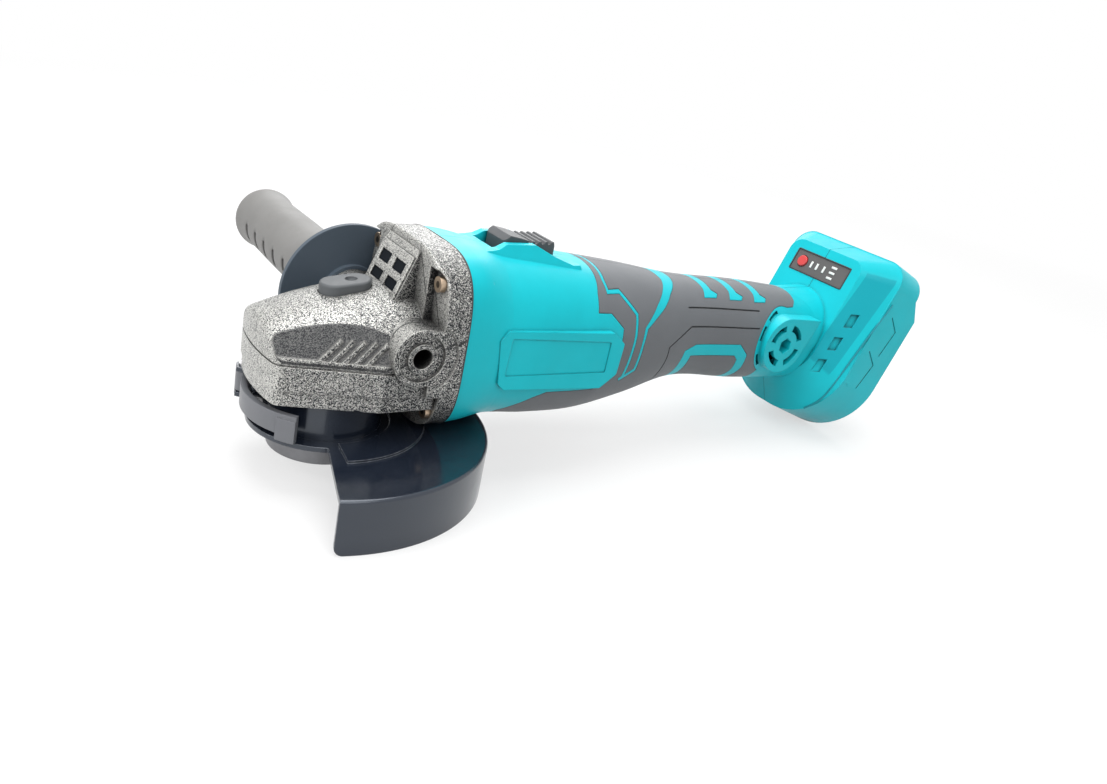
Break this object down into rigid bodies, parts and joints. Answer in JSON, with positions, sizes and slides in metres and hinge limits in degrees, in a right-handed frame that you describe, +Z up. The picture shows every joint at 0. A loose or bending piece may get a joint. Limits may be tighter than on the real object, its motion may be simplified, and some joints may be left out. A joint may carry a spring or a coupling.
{
  "type": "cordless angle grinder",
  "caption": "Cordless angle grinder with a soft-grip body, geared spindle, clamped wheel guard with lever, side handle, slide switch, spindle lock and open battery foot.",
  "frame": {"origin": "tip of the spindle, on its axis", "axes": "+Z up the spindle, +X back along the body to the battery foot, +Y out along the side handle"},
  "size_m": [0.3463, 0.222, 0.101],
  "materials": {
    "teal_plastic": "fine-grained moulded plastic",
    "soft_grip": "matt soft moulding",
    "cast_alloy": "speckled hammered paint",
    "black_steel": "gloss",
    "grey_steel": "satin",
    "bronze": "satin",
    "dark_plastic": "satin",
    "dark_rubber": "matt",
    "handle_plastic": "fine grain",
    "white_light": "gloss",
    "red_plastic": "gloss"
  },
  "bodies": {
    "tool": {"housing_left": "teal_plastic", "housing_right": "teal_plastic", "grip_left": "soft_grip", "grip_right": "soft_grip", "gear_housing": "cast_alloy", "bearing_cover": "cast_alloy", "spindle_bearing": "grey_steel", "front_bearing": "grey_steel", "rear_bearing": "grey_steel", "bearing_retainer": "grey_steel", "retainer_screws": "grey_steel", "lock_spring": "grey_steel", "handle_stud": "grey_steel", "stator_core": "grey_steel", "cover_screws": "bronze", "head_screws": "bronze", "case_screws": "bronze", "spindle_bush": "bronze", "terminal_blades": "bronze", "stator_windings": "bronze", "switch_block": "dark_plastic", "air_baffle": "dark_plastic", "rear_bearing_holder": "dark_plastic", "sensor_board": "dark_plastic", "control_unit": "dark_plastic", "terminal_block": "dark_plastic", "indicator_panel": "dark_plastic", "dust_seal": "dark_rubber", "motor_leads": "dark_rubber", "battery_leads": "dark_rubber", "handle_grip": "handle_plastic", "charge_lights": "white_light"},
    "spindle": {"spindle": "grey_steel", "bevel_gear": "grey_steel", "gear_ring": "grey_steel", "inner_flange": "grey_steel", "lock_nut": "grey_steel"},
    "rotor": {"rotor_shaft": "grey_steel", "rotor_core": "grey_steel", "fan": "dark_plastic", "pinion": "grey_steel"},
    "lock": {"lock_button": "dark_plastic", "lock_pin": "grey_steel"},
    "switch": {"switch_knob": "dark_plastic", "switch_link": "dark_plastic"},
    "guard": {"guard_shell": "black_steel", "guard_band": "black_steel", "lever_pin": "grey_steel", "clamp_screw": "grey_steel"},
    "lever": {"guard_lever": "grey_steel"},
    "check": {"check_button": "red_plastic"}
  },
  "joints": [
    {"name": "spindle_spin", "type": "hinge", "parent": "tool", "child": "spindle", "pos_m": [0, 0, 0.03], "axis": [0, 0, 1], "continuous": true},
    {"name": "rotor_spin", "type": "hinge", "parent": "tool", "child": "rotor", "pos_m": [0.079, 0, 0.0535], "axis": [1, 0, 0], "continuous": true},
    {"name": "lock_press", "type": "slide", "parent": "tool", "child": "lock", "axis": [0, 0, -1], "range_m": [0, 0.003], "stiffness_N_per_m": 300, "springref_m": -0.005, "deforming": ["lock_spring"]},
    {"name": "switch_slide", "type": "slide", "parent": "tool", "child": "switch", "axis": [-1, 0, 0], "range_m": [0, 0.005], "stiffness_N_per_m": 250, "springref_m": -0.006},
    {"name": "guard_turn", "type": "hinge", "parent": "tool", "child": "guard", "pos_m": [0, 0, 0.022], "axis": [0, 0, 1], "range_deg": [-75, 75]},
    {"name": "lever_swing", "type": "hinge", "parent": "guard", "child": "lever", "pos_m": [-0.02451, 0.02057, 0.0235], "axis": [0, 0, -1], "range_deg": [0, 100]},
    {"name": "check_press", "type": "slide", "parent": "tool", "child": "check", "axis": [0.9351, 0, -0.3543], "range_m": [0, 0.0006], "stiffness_N_per_m": 400, "springref_m": -0.002}
  ],
  "couplings": [
    {"joint": "rotor_spin", "follows": "spindle_spin", "ratio": 3.3636}
  ]
}
